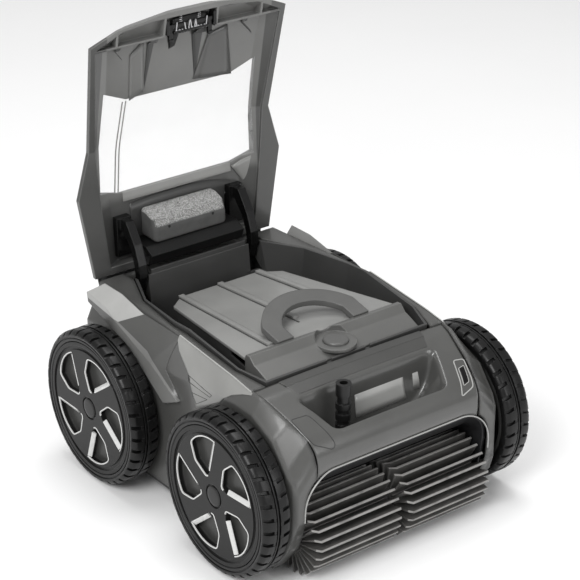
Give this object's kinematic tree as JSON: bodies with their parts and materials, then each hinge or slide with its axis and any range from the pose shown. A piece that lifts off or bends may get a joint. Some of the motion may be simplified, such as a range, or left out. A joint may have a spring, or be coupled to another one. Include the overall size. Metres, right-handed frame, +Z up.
{
  "type": "robotic pool cleaner",
  "caption": "Wheeled robotic pool cleaner with driven ribbed brush rollers, a hinged windowed lid standing open, and a lift-out filter canister with handle and release button",
  "frame": {"origin": "On the floor, midway between the axles and the sides", "axes": "+X to the cleaner's right seen from the front, the front faces -Y, +Z up"},
  "size_m": [0.42, 0.4821, 0.583],
  "materials": {
    "shell_grey": "glossy moulded",
    "fender_light": "glossy moulded",
    "bumper_grey": "glossy moulded",
    "bay_dark": "satin moulded",
    "tray_black": "satin moulded",
    "lid_grey": "satin moulded",
    "window_clear": "clear",
    "hinge_black": "glossy moulded",
    "shelf_dark": "satin moulded",
    "float_foam": "speckled closed-cell foam",
    "filter_grey": "satin moulded",
    "handle_grey": "satin moulded",
    "tub_dark": "satin moulded",
    "filter_fabric": "fine woven mesh",
    "brush_rubber": "ribbed rubber",
    "gland_rubber": "moulded rubber",
    "motor_case": "sealed case",
    "box_case": "sealed case",
    "grille_black": "satin moulded",
    "steel": "stainless",
    "bush_plastic": "bearing plastic",
    "tyre_rubber": "treaded rubber",
    "rim_black": "satin moulded",
    "gear_plastic": "gear plastic"
  },
  "bodies": {
    "chassis": {"base_tray": "tray_black", "body_shell": "shell_grey", "left_fender": "fender_light", "right_fender": "fender_light", "front_bumper": "bumper_grey", "filter_bay": "bay_dark", "hinge_pins": "steel", "cable_gland": "gland_rubber", "drive_motors": "motor_case", "pump_motor": "motor_case", "control_box": "box_case", "outlet_grille": "grille_black", "brush_bracket": "grille_black", "chassis_screws": "steel", "axle_bushes": "bush_plastic", "gear_studs": "steel"},
    "front_left_wheel": {"front_left_tyre": "tyre_rubber", "front_left_rim": "rim_black", "front_left_axle": "steel", "front_left_axle_gear": "gear_plastic"},
    "rear_left_wheel": {"rear_left_tyre": "tyre_rubber", "rear_left_rim": "rim_black", "rear_left_axle": "steel", "rear_left_axle_gear": "gear_plastic"},
    "front_left_idler": {"front_left_idler": "gear_plastic"},
    "rear_left_idler": {"rear_left_idler": "gear_plastic"},
    "left_pinion": {"left_pinion": "gear_plastic"},
    "left_brush_roller": {"left_brush": "brush_rubber", "left_brush_shaft": "steel", "left_brush_gear": "gear_plastic"},
    "front_right_wheel": {"front_right_tyre": "tyre_rubber", "front_right_rim": "rim_black", "front_right_axle": "steel", "front_right_axle_gear": "gear_plastic"},
    "rear_right_wheel": {"rear_right_tyre": "tyre_rubber", "rear_right_rim": "rim_black", "rear_right_axle": "steel", "rear_right_axle_gear": "gear_plastic"},
    "front_right_idler": {"front_right_idler": "gear_plastic"},
    "rear_right_idler": {"rear_right_idler": "gear_plastic"},
    "right_pinion": {"right_pinion": "gear_plastic"},
    "right_brush_roller": {"right_brush": "brush_rubber", "right_brush_shaft": "steel", "right_brush_gear": "gear_plastic"},
    "propeller": {"propeller": "grille_black"},
    "lid": {"lid_frame": "lid_grey", "lid_window": "window_clear", "left_hinge_arm": "hinge_black", "right_hinge_arm": "hinge_black", "float_tray": "shelf_dark", "lid_float": "float_foam", "float_screws": "steel", "latch_housing": "hinge_black", "latch_springs": "steel"},
    "latch": {"lid_latch": "hinge_black"},
    "filter": {"filter_tub": "tub_dark", "filter_cover": "filter_grey", "filter_handle": "handle_grey", "filter_mesh": "filter_fabric"},
    "button": {"filter_button": "handle_grey"}
  },
  "joints": [
    {"name": "front_left_wheel_spin", "type": "hinge", "parent": "chassis", "child": "front_left_wheel", "pos_m": [-0.19, -0.136, 0.1035], "axis": [1, 0, 0], "continuous": true},
    {"name": "rear_left_wheel_spin", "type": "hinge", "parent": "chassis", "child": "rear_left_wheel", "pos_m": [-0.19, 0.136, 0.1035], "axis": [1, 0, 0], "continuous": true},
    {"name": "front_left_idler_spin", "type": "hinge", "parent": "chassis", "child": "front_left_idler", "pos_m": [-0.152, -0.038, 0.10294], "axis": [1, 0, 0], "continuous": true},
    {"name": "rear_left_idler_spin", "type": "hinge", "parent": "chassis", "child": "rear_left_idler", "pos_m": [-0.152, 0.038, 0.10294], "axis": [1, 0, 0], "continuous": true},
    {"name": "left_pinion_spin", "type": "hinge", "parent": "chassis", "child": "left_pinion", "pos_m": [-0.152, 0, 0.066], "axis": [1, 0, 0], "continuous": true},
    {"name": "left_brush_spin", "type": "hinge", "parent": "chassis", "child": "left_brush_roller", "pos_m": [-0.07, -0.19456, 0.049], "axis": [1, 0, 0], "continuous": true},
    {"name": "front_right_wheel_spin", "type": "hinge", "parent": "chassis", "child": "front_right_wheel", "pos_m": [0.19, -0.136, 0.1035], "axis": [1, 0, 0], "continuous": true},
    {"name": "rear_right_wheel_spin", "type": "hinge", "parent": "chassis", "child": "rear_right_wheel", "pos_m": [0.19, 0.136, 0.1035], "axis": [1, 0, 0], "continuous": true},
    {"name": "front_right_idler_spin", "type": "hinge", "parent": "chassis", "child": "front_right_idler", "pos_m": [0.152, -0.038, 0.10294], "axis": [1, 0, 0], "continuous": true},
    {"name": "rear_right_idler_spin", "type": "hinge", "parent": "chassis", "child": "rear_right_idler", "pos_m": [0.152, 0.038, 0.10294], "axis": [1, 0, 0], "continuous": true},
    {"name": "right_pinion_spin", "type": "hinge", "parent": "chassis", "child": "right_pinion", "pos_m": [0.152, 0, 0.066], "axis": [1, 0, 0], "continuous": true},
    {"name": "right_brush_spin", "type": "hinge", "parent": "chassis", "child": "right_brush_roller", "pos_m": [0.07, -0.19456, 0.049], "axis": [1, 0, 0], "continuous": true},
    {"name": "propeller_spin", "type": "hinge", "parent": "chassis", "child": "propeller", "pos_m": [0, 0.176, 0.058], "axis": [0, 1, 0], "continuous": true},
    {"name": "lid_hinge", "type": "hinge", "parent": "chassis", "child": "lid", "pos_m": [0, 0.195, 0.22], "axis": [1, 0, 0], "range_deg": [0, 88]},
    {"name": "latch_slide", "type": "slide", "parent": "lid", "child": "latch", "axis": [0, 0, 1], "range_m": [0, 0.006], "stiffness_N_per_m": 250, "springref_m": -0.002, "deforming": ["latch_springs"]},
    {"name": "filter_lift", "type": "slide", "parent": "chassis", "child": "filter", "axis": [0, 0, -1], "range_m": [-0.25, 0]},
    {"name": "filter_button_press", "type": "slide", "parent": "filter", "child": "button", "axis": [0, 0, -1], "range_m": [0, 0.003], "stiffness_N_per_m": 400, "springref_m": -0.001}
  ],
  "couplings": [
    {"joint": "rear_left_wheel_spin", "follows": "front_left_wheel_spin", "ratio": 1},
    {"joint": "front_left_idler_spin", "follows": "front_left_wheel_spin", "ratio": -2.0625},
    {"joint": "rear_left_idler_spin", "follows": "front_left_wheel_spin", "ratio": -2.0625},
    {"joint": "left_pinion_spin", "follows": "front_left_wheel_spin", "ratio": 3.1429},
    {"joint": "left_brush_spin", "follows": "front_left_wheel_spin", "ratio": -4.7143},
    {"joint": "rear_right_wheel_spin", "follows": "front_right_wheel_spin", "ratio": 1},
    {"joint": "front_right_idler_spin", "follows": "front_right_wheel_spin", "ratio": -2.0625},
    {"joint": "rear_right_idler_spin", "follows": "front_right_wheel_spin", "ratio": -2.0625},
    {"joint": "right_pinion_spin", "follows": "front_right_wheel_spin", "ratio": 3.1429},
    {"joint": "right_brush_spin", "follows": "front_right_wheel_spin", "ratio": -4.7143}
  ]
}
